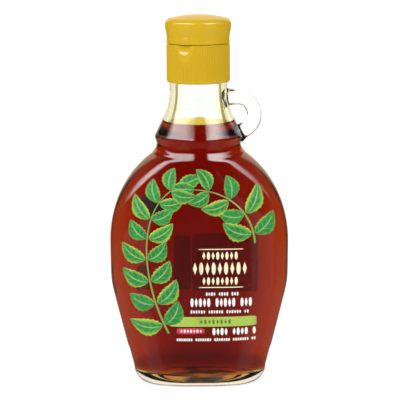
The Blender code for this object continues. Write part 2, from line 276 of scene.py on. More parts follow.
def outerWidthAt(z):
    # side wall, then a quarter ellipse, a round fillet into the groove, the lip and the neck
    o = outline
    rise = np.clip((z - o["shoulderBottom"]) / o["shoulderRise"], 0.0, 0.999)
    shoulder = sideWall(o["shoulderBottom"]) * np.sqrt(1.0 - rise ** 2)
    drop = np.clip(o["grooveHeight"] - z, 0.0, 0.99 * o["grooveFillet"])
    fillet = o["grooveRadius"] + o["grooveFillet"] - np.sqrt(o["grooveFillet"] ** 2 - drop ** 2)
    growth = smoothStep(z, o["grooveHeight"], o["lipHeight"])
    lip = o["grooveRadius"] + (o["lipRadius"] - o["grooveRadius"]) * growth
    return np.select(
        [z <= o["shoulderBottom"], z <= filletBottom(), z <= o["grooveHeight"],
         z <= o["lipHeight"]],
        [sideWall(z), shoulder, fillet, lip],
        np.minimum(neckOutline(z), o["lipRadius"]))


def outerDepthAt(z):
    # flat front, a fourth-power shoulder that turns into the round groove, then as wide as deep
    o = outline
    rise = np.clip((z - o["shoulderBottom"]) / o["shoulderFrontRise"], 0.0, 0.999)
    shoulder = o["halfDepth"] * (1.0 - rise ** 4) ** 0.25
    turn = smoothStep(z, o["frontTurnBottom"], o["frontTurnTop"])
    blended = shoulder * (1.0 - turn) + o["grooveRadius"] * turn
    return np.where(z >= o["grooveHeight"], outerWidthAt(z), blended)


def boreRadiusAt(z):
    o = outline
    narrowing = smoothStep(z, o["neckArcTop"], o["neckTop"])
    wall = o["wall"] + (o["neckRadius"] - o["mouthBore"] - o["wall"]) * narrowing
    above = np.maximum(neckOutline(z) - wall, o["mouthBore"])
    return np.where(z <= o["boreWaistTop"], o["boreWaist"], above)


def outlineTables():
    # Softened half-widths and half-depths, outside and inside, on a fine scale of heights.
    o = outline
    step = o["tableStep"]
    z = np.arange(0.0, o["tableTop"], step)
    width, depth = outerWidthAt(z), outerDepthAt(z)
    slope = np.gradient(width, step)
    inWidth = np.maximum(width - o["wall"] * np.hypot(1.0, slope), o["boreWaist"])
    inDepth = np.maximum(depth - o["wall"], o["boreWaist"])
    bore = boreRadiusAt(z)
    isRound = z >= filletBottom()
    inWidth, inDepth = np.where(isRound, bore, inWidth), np.where(isRound, bore, inDepth)
    outer, inner = o["softness"], o["innerSoftness"]
    return dict(z=z, width=softened(width, step, outer), depth=softened(depth, step, outer),
                inWidth=softened(inWidth, step, inner), inDepth=softened(inDepth, step, inner))


tables = outlineTables()


def read(name, z):
    return np.interp(z, tables["z"], tables[name])


def planPowerAt(z, bodyPower=outline["planPower"]):
    roundness = smoothStep(z, outline["shoulderBottom"], filletBottom())
    return bodyPower + (2.0 - bodyPower) * roundness


def evenAngles(count):
    # Angles that cut the body's oval into equal lengths of outline.
    o = outline
    fine = np.linspace(0.0, fullTurn, 7201)
    reach = ovalReach(fine, o["halfWidth"], o["halfDepth"], o["planPower"])
    x, y = reach * np.cos(fine), reach * np.sin(fine)
    length = joined([[0.0], np.cumsum(np.hypot(np.diff(x), np.diff(y)))])
    return np.interp(np.linspace(0.0, length[-1], count, endpoint=False), length, fine)


def ovalReach(angle, halfWidth, halfDepth, power):
    # ((|cos| / half-width)^n + (|sin| / half-depth)^n)^(-1/n)
    across = np.abs(np.cos(angle)) / halfWidth
    deep = np.abs(np.sin(angle)) / halfDepth
    return (across ** power + deep ** power) ** (-1.0 / power)


def turned(reach, heights, angles):
    # Grid of points: one ring for each height, from the distance to the axis at each angle.
    r = np.broadcast_to(reach, (len(heights), len(angles)))
    z = np.broadcast_to(np.asarray(heights, float)[:, None], r.shape)
    return np.stack([r * np.cos(angles), r * np.sin(angles), z], -1)


def ovalRings(heights, halfWidths, halfDepths, powers, angles):
    w, d, n = (np.asarray(a, float)[:, None] for a in (halfWidths, halfDepths, powers))
    return turned(ovalReach(angles[None, :], w, d, n), heights, angles)


def pole(height, columns):
    return np.broadcast_to(np.array([0.0, 0.0, height]), (1, columns, 3))


def lathe(name, bottom, parts, top, angles, slotOfRow=None):
    # Closed skin about the axis, from parts that each give their distances and heights.
    rows = [turned(reach, heights, angles) for reach, heights in parts]
    ends = (pole(z, len(angles)) for z in (bottom, top))
    return closedGrid(name, joined([next(ends), *rows, next(ends)]), slotOfRow)


# Flask: base, outside wall, mouth, and the inside down to the floor, as one closed skin

flask = dict(
    columns=192, heelHeight=7.0, heelSideInset=5.5, heelFrontInset=3.5, pushUp=1.6,
    baseShares=(0.15, 0.3, 0.45, 0.6, 0.75, 0.82, 0.9, 0.96), restingShare=0.86, footRows=6,
    finishRadius=13.1, finishRows=(143.2, 148.0, 153.5), finishTop=159.3, mouthRound=0.6,
    floorHeight=4.6, floorCorner=5.0, floorCrown=1.4, innerPower=2.15,
    floorShares=(0.12, 0.25, 0.4, 0.55, 0.7, 0.82, 0.92),
    outerRows=((7.0, 14.6, 1.2), (14.6, 18.8, 0.4), (18.8, 68.0, 1.6), (68.0, 104.0, 1.0),
               (104.0, 120.0, 0.35), (120.0, 142.95, 0.8)),
    innerRows=((9.6, 68.0, 2.0), (68.0, 104.0, 1.2), (104.0, 122.0, 0.5), (122.0, 143.0, 0.8),
               (143.0, 158.8, 3.0)),
)
glass = dict(
    indexOfRefraction=1.52, tint=(0.99, 1.0, 0.985), waveScale=60.0, waveDepth=0.00010,
    # painted gold reflection of the cap on the neck, and a brown line of painted shade beside it
    goldEdgeFrom=0.30, goldEdgeTo=0.42, paintedGoldInside=(0.96, 0.88, 0.50), paintedGoldOutside=(0.74, 0.66, 0.31),
    paintedShadeLine=(0.16, 0.12, 0.03), shadeLineMiddle=0.345, shadeLineHalf=0.03, shadeLineFade=0.065,
    # the foot's painted shade and painted glow
    footPaintedShade=(0.016, 0.004, 0.003), footPaintedGlow=(0.66, 0.24, 0.02), footGlowStrength=0.6,
    streakScale=80.0, streakStretch=(1.0, 0.8, 1.0), streakFrom=0.42, streakTo=0.64,
    # painted glow at the heel
    paintedHeelGlow=(0.84, 0.76, 0.62), heelGlowFrom=5.0, heelGlowTo=8.0,
    paintedGoldBottom=120.0, paintedGoldTop=126.0, paintedGoldRadius=17.5,
)
ring = dict(
    centreX=18.9, centreZ=127.8, reachX=7.45, reachZ=8.0, halfWidth=3.5, halfDepth=3.0,
    topRootX=12.3, lowerTurn=152.0, lowerRun=4.9, flare=0.32, flareLength=2.6, columns=64,
)
fill = dict(
    level=124.1, intoWall=0.08, meniscusRise=0.3, meniscusReach=0.6,
    edgeSteps=(0.08, 0.2, 0.35, 0.55, 0.8, 1.1, 1.5, 2.1, 3.0, 4.4), innerShares=(0.35, 0.95, 7),
    indexOfRefraction=1.46, density=450.0, passes=(0.888, 0.645, 0.02),
    # painted gold sheen on the syrup's open top
    paintedSheenGold=(0.76, 0.56, 0.03), paintedSheenShare=0.85, waveScale=90.0, waveDepth=0.00003,
)


def rowsBetween(groups):
    return joined([np.arange(*group) for group in groups])


def quarterTurn(count):
    # Angles from 0 up to, but without, a right angle.
    return np.radians(np.linspace(0.0, 90.0, count))[:-1]


def outsideRows():
    # Heights, half-widths, half-depths and plan powers from the base up to the mouth.
    f = flask
    turn, heel = quarterTurn(13), f["heelHeight"]
    heelZ = heel * (1.0 - np.cos(turn))
    side = read("width", heel) - f["heelSideInset"] * (1.0 - np.sin(turn))
    front = read("depth", heel) - f["heelFrontInset"] * (1.0 - np.sin(turn))
    share = np.array(f["baseShares"])
    baseZ = f["pushUp"] * (1.0 - smoothStep(share, 0.0, f["restingShare"]))
    wallZ = np.append(rowsBetween(f["outerRows"]), outline["neckTop"])
    mouthTurn = np.radians([0.0, 30.0, 60.0, 90.0])
    mouthZ = f["finishTop"] - f["mouthRound"] * (1.0 - np.sin(mouthTurn))
    mouthR = f["finishRadius"] - f["mouthRound"] * (1.0 - np.cos(mouthTurn))
    topZ = joined([f["finishRows"], mouthZ])
    topR = joined([[f["finishRadius"]] * len(f["finishRows"]), mouthR])
    heights = joined([baseZ, heelZ, wallZ, topZ])
    widths = joined([share * side[0], side, read("width", wallZ), topR])
    depths = joined([share * front[0], front, read("depth", wallZ), topR])
    powers = joined([np.full(len(baseZ) + len(heelZ), outline["planPower"]), planPowerAt(wallZ),
                     np.full(len(topZ), 2.0)])
    return heights, widths, depths, powers


def insideRows(grow=0.0, top=None):
    # The same for the cavity, from the floor up to top; grow moves every row outwards.
    f = flask
    cornerTop = f["floorHeight"] + f["floorCorner"]
    share = np.array(f["floorShares"])
    floorZ = f["floorHeight"] + f["floorCrown"] * np.cos(0.5 * math.pi * share) ** 2
    turn = quarterTurn(11)
    cornerZ = f["floorHeight"] + f["floorCorner"] * (1.0 - np.cos(turn))
    wallZ = rowsBetween(f["innerRows"])
    if top is not None:
        wallZ = np.append(wallZ[wallZ < top - 0.2], top)
    heights = joined([floorZ - grow, cornerZ - grow * np.cos(turn), wallZ])
    spans = []
    for name in ("inWidth", "inDepth"):
        floor = read(name, cornerTop) - f["floorCorner"]
        corner = floor + (f["floorCorner"] + grow) * np.sin(turn)
        spans.append(joined([share * floor, corner, read(name, wallZ) + grow]))
    powers = joined([np.full(len(floorZ) + len(cornerZ), f["innerPower"]),
                     planPowerAt(wallZ, f["innerPower"])])
    return heights, *spans, powers


def flaskSkin():
    # slots: 0 outside, 1 wetted by the syrup, 2 inside above it, 3 the foot
    f = flask
    angles = evenAngles(f["columns"])
    outside = ovalRings(*outsideRows(), angles)
    inZ, inW, inD, inN = insideRows()
    mouth = ovalRings([f["finishTop"], f["finishTop"] - 0.4], [inW[-1] + 0.6, inW[-1]],
                      [inD[-1] + 0.6, inD[-1]], [2.0, 2.0], angles)
    inside = ovalRings(inZ[::-1], inW[::-1], inD[::-1], inN[::-1], angles)
    crown = f["floorHeight"] + f["floorCrown"]
    grid = joined([pole(f["pushUp"], f["columns"]), outside, mouth, inside,
                   pole(crown, f["columns"])])
    wetTop = fill["level"] + 0.5 * fill["meniscusRise"]
    isInside = np.arange(len(grid)) >= 1 + len(outside) + len(mouth)
    slots = np.where(isInside, np.where(grid[:, 0, 2] <= wetTop, 1, 2), 0)
    slots[:f["footRows"]] = 3
    return closedGrid("glass_flask", grid, slotOfRow=slots)


def ringPath():
    # Places (x, z), tangents and distance to the nearer root along the ring handle.
    r = ring
    rootZ = r["centreZ"] + r["reachZ"]
    topX = np.linspace(r["topRootX"], r["centreX"], 10)[:-1]
    turn = np.radians(np.linspace(0.0, r["lowerTurn"], 50))
    arcX = r["centreX"] + r["reachX"] * np.sin(turn)
    arcZ = r["centreZ"] + r["reachZ"] * np.cos(turn)
    endX, endZ = r["reachX"] * np.cos(turn[-1]), -r["reachZ"] * np.sin(turn[-1])
    length = math.hypot(endX, endZ)
    run = np.linspace(0.0, r["lowerRun"], 10)[1:]
    x = joined([topX, arcX, arcX[-1] + run * endX / length])
    z = joined([np.full(len(topX), rootZ), arcZ, arcZ[-1] + run * endZ / length])
    along = joined([[0.0], np.cumsum(np.hypot(np.diff(x), np.diff(z)))])
    tangentX, tangentZ = np.gradient(x, along), np.gradient(z, along)
    size = np.hypot(tangentX, tangentZ)
    return x, z, tangentX / size, tangentZ / size, np.minimum(along, along[-1] - along)


def ringTube():
    # oval section of half-width a in the ring's plane and b across it, times 1 + flare near
    # the roots, flare = f * exp(-(distance / length)^2); it turns so that the faces look outwards
    r = ring
    x, z, tx, tz, rootDistance = ringPath()
    swell = 1.0 + r["flare"] * np.exp(-(rootDistance / r["flareLength"]) ** 2)
    angle = np.linspace(0.0, fullTurn, r["columns"], endpoint=False)
    out = -r["halfWidth"] * swell[:, None] * np.cos(angle)
    deep = r["halfDepth"] * swell[:, None] * np.sin(angle)
    rings = np.stack([x[:, None] - out * tz[:, None], deep, z[:, None] + out * tx[:, None]], -1)
    first, last = (pole(z[i], len(angle)) + (x[i], 0.0, 0.0) for i in (0, -1))
    return closedGrid("ring_tube", joined([first, rings, last]))


def applyUnion(obj, tool):
    # The tool joins obj, and goes.
    modifier = obj.modifiers.new("Join handle", "BOOLEAN")
    modifier.operation = "UNION"
    modifier.solver = "EXACT"
    modifier.object = tool
    bpy.context.view_layer.update()
    graph = bpy.context.evaluated_depsgraph_get()
    obj.data = bpy.data.meshes.new_from_object(obj.evaluated_get(graph))
    obj.modifiers.clear()
    bpy.data.objects.remove(tool, do_unlink=True)
    obj.data.shade_smooth()


def glassMaterial(name, face):
    # clear glass; the wetted face mirrors nothing, and elsewhere the neck turns gold where it is
    # seen edge on, a painted reflection of the gold cap, with a thin brown line of painted shade
    # beside the gold on the plain, outer face, and a pale gold tint at the heel, a painted glow
    # of the light that passes the syrup
    g = glass
    material, shader = clearMaterial(name, g["indexOfRefraction"], face != "wetted")
    if face == "wetted":
        return material
    edgeOn = addNode("LayerWeight", {"Blend": 0.5}).outputs["Facing"]
    x, y, z = placeOf()[1]
    # mask of the painted gold and the painted shade line: the neck above the syrup
    narrow = rampOf(mathOf("ABSOLUTE", x), (g["paintedGoldRadius"] - 1.0) * mm, g["paintedGoldRadius"] * mm,
                    1.0, 0.0)
    paintedNeckMask = times(rampOf(z, g["paintedGoldBottom"] * mm, g["paintedGoldTop"] * mm), narrow)
    share = times(rampOf(edgeOn, g["goldEdgeFrom"], g["goldEdgeTo"]), paintedNeckMask)
    # gold that paints the cap's reflection in the neck wall
    gold = g["paintedGoldInside"] if face == "dryInside" else g["paintedGoldOutside"]
    # painted glow: the heel near the floor is tinted pale gold for the light that passes the syrup
    heel = rampOf(z, g["heelGlowFrom"] * mm, g["heelGlowTo"] * mm, 1.0, 0.0)
    colour = mixColour(heel, mixColour(share, g["tint"], gold), g["paintedHeelGlow"])
    # painted shade: a thin brown line beside the gold where the neck is seen at one slant
    if face == "plain":
        off = mathOf("ABSOLUTE", mathOf("SUBTRACT", edgeOn, g["shadeLineMiddle"]))
        shadeLine = times(paintedNeckMask, rampOf(off, g["shadeLineHalf"], g["shadeLineFade"], 1.0, 0.0))
        colour = mixColour(shadeLine, colour, g["paintedShadeLine"])
    feed(shader, {"Base Color": colour})
    addBump(shader, noiseOf(g["waveScale"], 1.0), 0.5, g["waveDepth"])
    return material


def footMaterial():
    # the stippled underside, painted with the syrup over it as dark and gold streaks: painted shade
    # and a painted glow, which it gives off as light of its own
    g = glass
    material, shader = newMaterial("stippledPaintedFoot")
    noise = noiseOf(g["streakScale"], 1.0, g["streakStretch"])
    streak = rampOf(noise, g["streakFrom"], g["streakTo"])
    colour = mixColour(streak, g["footPaintedShade"], g["footPaintedGlow"])
    # the streaks glow: painted light from a surface that is no lamp
    feed(shader, {"Base Color": colour, "Roughness": 0.6, "Emission Color": colour,
                  "Emission Strength": g["footGlowStrength"]})
    return material


def syrupMaterial(name, wet):
    # Clear amber liquid that darkens with depth. Its wet sides lie in the glass and don't mirror,
    # and its open top is part gold mirror, a painted gold sheen.
    s = fill
    material, shader = clearMaterial(name, s["indexOfRefraction"], not wet)
    depth = addNode("VolumeAbsorption", {"Color": s["passes"], "Density": s["density"]})
    toOutput({"Volume": depth.outputs[0]})
    if wet:
        return material
    addBump(shader, noiseOf(s["waveScale"], 1.0), 0.3, s["waveDepth"])
    paintedSheen = addNode("BsdfGlossy", {"Color": s["paintedSheenGold"], "Roughness": 0.0})
    toOutput({"Surface": mixShader(s["paintedSheenShare"], shader, paintedSheen)})
    return material


def syrupSkin():
    # the cavity grown into the wall; the top is level + rise*exp(-distance to the wall / reach)
    s = fill
    angles = evenAngles(flask["columns"])
    wallTop = s["level"] + s["meniscusRise"]
    z, w, d, n = insideRows(s["intoWall"], wallTop)
    sides = ovalRings(z, w, d, n, angles)
    edge = w[-1]
    share = 1.0 - joined([np.array(s["edgeSteps"]) / edge, np.linspace(*s["innerShares"])])
    topZ = s["level"] + s["meniscusRise"] * np.exp(-edge * (1.0 - share) / s["meniscusReach"])
    top = ovalRings(topZ, edge * share, d[-1] * share, np.full(len(share), 2.0), angles)
    bottom = flask["floorHeight"] + flask["floorCrown"] - s["intoWall"]
    grid = joined([pole(bottom, len(angles)), sides, top, pole(s["level"], len(angles))])
    dry = np.arange(len(grid)) >= len(sides)
    return closedGrid("syrup_fill", grid, slotOfRow=dry.astype(int))


def makeFlask():
    body = flaskSkin()
    for name, face in (("clearGlass", "plain"), ("clearGlassWetted", "wetted"),
                       ("clearGlassDryInside", "dryInside")):
        body.data.materials.append(glassMaterial(name, face))
    body.data.materials.append(footMaterial())
    tube = ringTube()
    tube.data.materials.append(body.data.materials[0])
    applyUnion(body, tube)
    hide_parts("glass_bottle")
    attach(body, "root")
    print("flask made:", len(body.data.polygons), "faces")


def makeSyrup():
    body = syrupSkin()
    body.data.materials.append(syrupMaterial("amberSyrupSides", True))
    body.data.materials.append(syrupMaterial("amberSyrupTop", False))
    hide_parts("syrup")
    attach(body, "root")
    print("syrup made:", len(body.data.polygons), "faces")


makeFlask()
makeSyrup()


# Cap: ribbed skirt with a smooth thumb panel, and the shut flip-top lid

cap = dict(
    radius=14.86, bore=13.45, skirtBottom=143.2, skirtTop=161.1, deck=1.5,
    ribCount=112, ribDepth=0.24, ribShape=0.75, ribBottom=143.9, ribTop=160.7,
    edgeRound=0.9, thumbAngle=-116.0, panelHalfAngle=21.0, panelBottom=152.4,
    scoopHalfWidth=5.4, scoopHeight=5.6, scoopBall=3.0, scoopDepth=1.15,
    outerRows=((144.25, 147.0, 0.25), (147.0, 152.0, 1.0), (152.0, 160.2, 0.4),
               (160.2, 160.95, 0.15)),
    gold=(0.545, 0.345, 0.008), goldDeep=(0.49, 0.305, 0.006), mottle=90.0, roughness=0.18,
    roughnessScale=400.0, roughnessSwing=0.12, grainScale=2500.0, grainDepth=0.00002,
    # painted glow of the cap's inside
    indexOfRefraction=1.49, glow=(1.0, 0.78, 0.16), glowStrength=0.45,
)
lid = dict(
    bottom=161.4, coveRadius=14.72, coveHeight=164.5, rimRadius=15.58, rimHeight=170.1,
    top=174.6, domeEdge=12.4, domeRise=1.5, tabHalfWidth=4.3, tabHeight=4.2, tabBall=1.3,
    tabReach=0.6, columns=384,
)


def fromThumb(angle):
    # angle round the cap from the thumb's middle, between -pi and pi
    return np.remainder(angle - math.radians(cap["thumbAngle"]) + math.pi, fullTurn) - math.pi


def ballReach(angle, z, centreRadius, centreZ, along, tall, deep):
    # height of a flattened ball over its flat: deep * sqrt(1 - (t/along)^2 - (z/tall)^2), with
    # t the distance round the cap from the thumb's middle; zero outside it
    left = 1.0 - (centreRadius * fromThumb(angle) / along) ** 2 - ((z - centreZ) / tall) ** 2
    return deep * np.sqrt(np.clip(left, 0.0, 1.0)), left > 0.0


def skirtRadius(angle, z):
    # plain radius less ribDepth*(1 - |cos(n*angle/2)|^shape), faded out at the ends of the
    # ribs and inside the thumb panel, and never outside the scoop's ball
    c = cap
    radius = np.full(np.broadcast_shapes(angle.shape, z.shape), c["radius"])
    away = np.abs(fromThumb(angle))
    rise = np.clip((z - c["panelBottom"]) / (c["skirtTop"] - c["panelBottom"]), 0.0, 1.0)
    panel = math.radians(c["panelHalfAngle"]) * (1.0 - (1.0 - rise) ** 2)
    shown = smoothStep(z, c["ribBottom"], c["ribBottom"] + 0.7)
    shown = shown * (1.0 - smoothStep(z, c["ribTop"] - 0.3, c["ribTop"]))
    shown = shown * np.where(rise > 0.0, smoothStep(away, panel - 0.03, panel + 0.03), 1.0)
    wave = np.abs(np.cos(0.5 * c["ribCount"] * angle)) ** c["ribShape"]
    radius = radius - c["ribDepth"] * (1.0 - wave) * shown
    dent, inside = ballReach(angle, z, c["radius"], c["skirtTop"], c["scoopHalfWidth"],
                             c["scoopHeight"], c["scoopBall"])
    scooped = c["radius"] + c["scoopBall"] - c["scoopDepth"] - dent
    return np.where(inside, softMin(radius, scooped, 0.08), radius)


def skirtSkin():
    c = cap
    angles = np.linspace(0.0, fullTurn, 8 * c["ribCount"], endpoint=False)
    deckZ = c["skirtTop"] - c["deck"]
    turn = np.radians([0.0, 22.5, 45.0, 67.5, 90.0])
    edgeZ = c["skirtBottom"] + c["edgeRound"] * (1.0 - np.sin(turn))[::-1]
    edgeInset = c["edgeRound"] * (1.0 - np.cos(turn))[::-1]
    outerZ = rowsBetween(c["outerRows"])
    innerR = np.array([6.0, c["bore"] - 0.4, c["bore"], c["bore"], c["bore"] + 0.3])
    innerZ = np.array([deckZ, deckZ, deckZ - 0.4, c["skirtBottom"] + 0.3, c["skirtBottom"]])
    outer = skirtRadius(angles[None, :], outerZ[:, None])
    topR = skirtRadius(angles[None, :], np.array([[c["skirtTop"]]])) - 0.12
    edge = (c["radius"] - edgeInset)[:, None]
    parts = [(innerR[:, None], innerZ), (edge, edgeZ), (outer, outerZ), (topR, [c["skirtTop"]]),
             (np.array([[12.0], [6.0]]), [c["skirtTop"]] * 2)]
    rows = 2 + sum(len(heights) for _, heights in parts)
    inner = (np.arange(rows) < len(innerR)).astype(int)
    return lathe("cap_ribbed_skirt", deckZ, parts, c["skirtTop"], angles, inner)


def lidProfile():
    # Radius and height of the lid's section, from the seam up to the crown.
    d = lid
    ballRadius = (d["domeEdge"] ** 2 + d["domeRise"] ** 2) / (2.0 * d["domeRise"])
    domeAngle = math.asin(d["domeEdge"] / ballRadius)
    turn = np.linspace(domeAngle, 0.0, 22)[:-1]
    domeR = ballRadius * np.sin(turn)
    domeZ = d["top"] - ballRadius * (1.0 - np.cos(turn))
    rimTurn = np.radians(np.linspace(90.0, 0.0, 15))[:-1]
    rimR = d["domeEdge"] + (d["rimRadius"] - d["domeEdge"]) * np.sin(rimTurn)
    rimZ = d["rimHeight"] + (domeZ[0] - d["rimHeight"]) * np.cos(rimTurn)
    wallZ = rowsBetween([(d["bottom"] + 0.2, d["coveHeight"], 0.2),
                         (d["coveHeight"], d["rimHeight"], 0.3)])
    cove = smoothStep(wallZ, d["coveHeight"] - 1.0, d["rimHeight"])
    foot = 1.0 - smoothStep(wallZ, d["bottom"], d["coveHeight"])
    wallR = d["coveRadius"] + (d["rimRadius"] - d["coveRadius"]) * cove
    wallR = wallR + (cap["radius"] - d["coveRadius"]) * foot
    return joined([wallR, rimR, domeR]), joined([wallZ, rimZ, domeZ])


def lidSkin():
    # the section turned about the axis, with the tab's ball standing out of its lower edge
    d = lid
    angles = np.linspace(0.0, fullTurn, d["columns"], endpoint=False)
    radii, heights = lidProfile()
    swell, inside = ballReach(angles[None, :], heights[:, None], cap["radius"], d["bottom"],
                              d["tabHalfWidth"], d["tabHeight"], d["tabBall"])
    tab = cap["radius"] + d["tabReach"] - d["tabBall"] + swell
    plain = np.broadcast_to(radii[:, None], tab.shape)
    walls = np.where(inside, softMax(plain, tab, 0.06), plain)
    under = np.array([[6.0], [12.0]])
    parts = [(under, [d["bottom"]] * 2), (walls[:1] - 0.2, [d["bottom"]]), (walls, heights)]
    return lathe("cap_flip_lid", d["bottom"], parts, d["top"], angles)


def goldMaterial(name):
    # Moulded gold plastic with faint mottling.
    c = cap
    material, shader = newMaterial(name)
    mottle = noiseOf(c["mottle"], 3.0)
    feed(shader, {"Base Color": mixColour(mottle, c["goldDeep"], c["gold"])})
    return material, shader


def outsideGold():
    # the same with a fine satin grain
    c = cap
    material, shader = goldMaterial("goldPlastic")
    rough = unevenOf(c["roughnessScale"], c["roughness"], c["roughnessSwing"])
    feed(shader, {"Roughness": rough, "IOR": c["indexOfRefraction"]})
    addBump(shader, noiseOf(c["grainScale"]), 0.25, c["grainDepth"])
    return material


def insideGold():
    # the inside of the cap with a painted glow: it gives off gold light that stands in for the light
    # that soaks through the thin plastic
    c = cap
    material, shader = goldMaterial("goldPlasticPaintedGlow")
    feed(shader, {"Roughness": 0.5, "Emission Color": c["glow"],
                  "Emission Strength": c["glowStrength"]})
    return material


def makeCap():
    gold = outsideGold()
    for piece, node in ((skirtSkin(), "cap_skirt"), (lidSkin(), "cap_lid")):
        piece.data.materials.append(gold)
        if node == "cap_skirt":
            piece.data.materials.append(insideGold())
        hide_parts(node)
        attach(piece, "root")
    print("cap made")


makeCap()


# Labels: clear film, and the print as thin fields of colour on it

film = dict(
    lift=0.06, thickness=0.05, bottom=22.8, top=102.0, reach=0.92, rows=90, columns=80,
    columnTurn=70.0, rounding=0.35, backBottom=28.0, backTop=88.0, backHalfWidth=25.0,
    tint=(0.20, 0.20, 0.18), alpha=0.003, roughness=0.22, roughnessScale=150.0,
    roughnessSwing=0.1, waveScale=120.0, waveDepth=0.00005,
)
ink = dict(lift=0.09, layer=0.02, thickness=0.015, shade=0.86, grainScale=1800.0, roughness=0.45)


def onFace(x, z, lift, facing=-1.0):
    # y = facing * D * (1 - |x/W|^n)^(1/n) with the flask's width W and depth D grown by lift
    width, depth, power = read("width", z) + lift, read("depth", z) + lift, planPowerAt(z)
    share = np.clip(1.0 - (np.abs(x) / width) ** power, 0.0, 1.0)
    return np.stack([x, facing * depth * share ** (1.0 / power), z], -1)


def filmSheet(name, bottom, top, reachAt, facing):
    # columns at the sines of equal angles, so that they close up where the glass curves most
    f = film
    turn = math.radians(f["columnTurn"])
    across = np.sin(np.linspace(-turn, turn, f["columns"])) / math.sin(turn) * -facing
    z = np.linspace(bottom, top, f["rows"])
    x = reachAt(z)[:, None] * across[None, :]
    points = onFace(x, np.broadcast_to(z[:, None], x.shape), f["lift"] + f["thickness"], facing)
    quads = patchQuads(1, f["rows"], f["columns"])
    return openPatches(name, points, quads, f["thickness"])


def frontReach(z):
    f = film
    middle, half = 0.5 * (f["bottom"] + f["top"]), 0.5 * (f["top"] - f["bottom"])
    rounded = 1.0 - f["rounding"] * np.maximum((z - middle) / half, 0.0) ** 4
    return f["reach"] * read("width", z) * rounded


def filmMaterial():
    # Thin clear film: barely tinted, with a soft sheen and a little waviness.
    f = film
    material, shader = newMaterial("clearFilm")
    rough = unevenOf(f["roughnessScale"], f["roughness"], f["roughnessSwing"])
    feed(shader, {"Base Color": f["tint"], "Alpha": f["alpha"], "Roughness": rough})
    addBump(shader, noiseOf(f["waveScale"]), 0.2, f["waveDepth"])
    return material


def inkMaterial(name, colour, opacity):
    # Ink with a fine screen grain.
    material, shader = newMaterial(name)
    darker = tuple(ink["shade"] * part for part in colour)
    grain = noiseOf(ink["grainScale"], 1.0)
    feed(shader, {"Base Color": mixColour(grain, darker, colour),
                  "Roughness": ink["roughness"], "Alpha": opacity})
    return material


def beadRows(rows):
    # Small shapes along rows (from, to, z, half-width, half-height, step, powers, gap): the
    # powers take turns, and every gap-th place is left empty.
    shapes = []
    for start, end, z, half, halfTall, step, powers, gap in rows:
        for i, x in enumerate(np.arange(start + half, end, step)):
            if not gap or (i + 1) % gap:
                shapes.append((x, z, half, halfTall, powers[i % len(powers)]))
    return shapes


def inkSheet(name, material, points, quads, leafPlace=None):
    obj = openPatches(name, points, quads, ink["thickness"], leafPlace)
    obj.data.materials.append(material)
    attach(obj, "root")
    return obj


def fieldsOfInk(name, material, bars=(), beads=(), facing=-1.0, layer=1, rings=3, sides=16):
    # Flat shapes on the label, each (x, z, half-width, half-height, power).
    # A shape is the superellipse |x/a|^n + |z/b|^n = 1: power 1 is a lozenge, 2 a bead and
    # 8 or more a bar. Its grid is share of the way out by angle, closed by repeating the first
    # column, and long bars get more rings so that they follow the glass.
    s = np.array([*bars, *beadRows(beads)], float)
    angle = np.linspace(0.0, fullTurn, sides + 1)
    out = np.linspace(0.0, 1.0, rings + 1)
    cos, sin = np.cos(angle), np.sin(angle)
    reach = (np.abs(cos) ** s[:, 4, None] + np.abs(sin) ** s[:, 4, None]) ** (-1.0 / s[:, 4, None])
    x = s[:, 0, None, None] + s[:, 2, None, None] * out[None, :, None] * (reach * cos)[:, None]
    z = s[:, 1, None, None] + s[:, 3, None, None] * out[None, :, None] * (reach * sin)[:, None]
    quads = patchQuads(len(s), rings + 1, sides + 1)
    obj = inkSheet(name, material, onFace(x, z, ink["lift"] + layer * ink["layer"], facing),
                   quads[:, ::-1] if facing < 0.0 else quads)
    bm = bmesh.new()
    bm.from_mesh(obj.data)
    bmesh.ops.remove_doubles(bm, verts=bm.verts, dist=0.0005 * mm)
    bm.to_mesh(obj.data)
    bm.free()


# Leaves: toothed ovals in pairs along two bent stems

leaves = dict(
    length=15.5, width=9.0, teeth=7, toothDepth=0.16, spread=52.0, closing=14.0, turning=6.0,
    firstPlace=0.35, shrink=0.25, bend=0.12, fullness=0.8, stalk=0.08, rows=57, columns=9,
    sideVeins=5.0, veinSlant=0.22, veinHalf=0.055, veinEnd=0.8, ribHalf=0.075, faint=0.55,
    mottle=260.0, roughness=0.42, green=(0.008, 0.28, 0.040), deep=(0.003, 0.075, 0.030),
    edge=(0.34, 0.47, 0.035), vein=(0.24, 0.42, 0.10),
)
stems = [
    dict(x=(-14.5, -27.5, -30.0, -9.0), z=(27.0, 52.0, 88.0, 97.0), pairs=8, width=0.5),
    dict(x=(26.0, 25.0, 14.0, -2.0), z=(70.0, 84.0, 95.0, 95.5), pairs=4, width=0.5),
]


def bentLine(stem, t):
    # cubic curve through control places p0..p3: sum of p_i * C(3, i) * t^i * (1 - t)^(3 - i)
    weights = [(1 - t) ** 3, 3 * t * (1 - t) ** 2, 3 * t ** 2 * (1 - t), t ** 3]
    return sum(w * p for w, p in zip(weights, stem["x"])), \
        sum(w * p for w, p in zip(weights, stem["z"]))


def placeAndHeading(stem, t, ahead):
    (x, z), (x2, z2) = bentLine(stem, t), bentLine(stem, t + ahead)
    return x, z, math.atan2(z2 - z, x2 - x)


